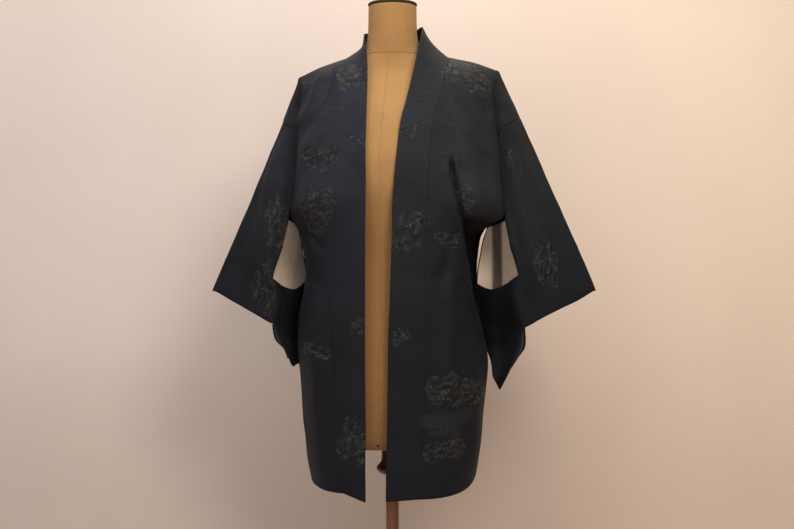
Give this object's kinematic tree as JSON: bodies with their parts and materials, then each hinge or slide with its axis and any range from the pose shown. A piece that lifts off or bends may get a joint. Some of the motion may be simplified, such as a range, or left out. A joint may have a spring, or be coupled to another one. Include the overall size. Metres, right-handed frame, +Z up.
{
  "type": "haori jacket on a dress form",
  "caption": "Short open kimono jacket (haori) with wide sleeves, worn on a limbless dress form on a wooden pole and round base.",
  "frame": {"origin": "centre of the round base's underside, on the pole's axis", "axes": "+Z up along the pole, +X towards the wearer's left sleeve, -Y to the open front of the jacket"},
  "size_m": [0.73, 0.4, 1.506],
  "materials": {
    "haori_cloth": "fine ribbed silk with a soft sheen and woven cloud and garden motifs",
    "sleeve_lining": "smooth light silk",
    "form_linen": "tightly stretched fine linen",
    "neck_cap": "dull dark",
    "dark_wood": "dark varnish",
    "pole_wood": "satin varnish"
  },
  "bodies": {
    "root": {"body_left": "haori_cloth", "body_right": "haori_cloth", "gusset_left": "haori_cloth", "gusset_right": "haori_cloth", "collar": "haori_cloth", "sleeve_left": "haori_cloth", "sleeve_right": "haori_cloth", "sleeve_lining_left": "sleeve_lining", "sleeve_lining_right": "sleeve_lining", "form_torso": "form_linen", "form_neck_cap": "neck_cap", "form_neck_knob": "neck_cap", "stand_turning": "dark_wood", "stand_pole": "pole_wood", "stand_base": "dark_wood"}
  },
  "joints": []
}
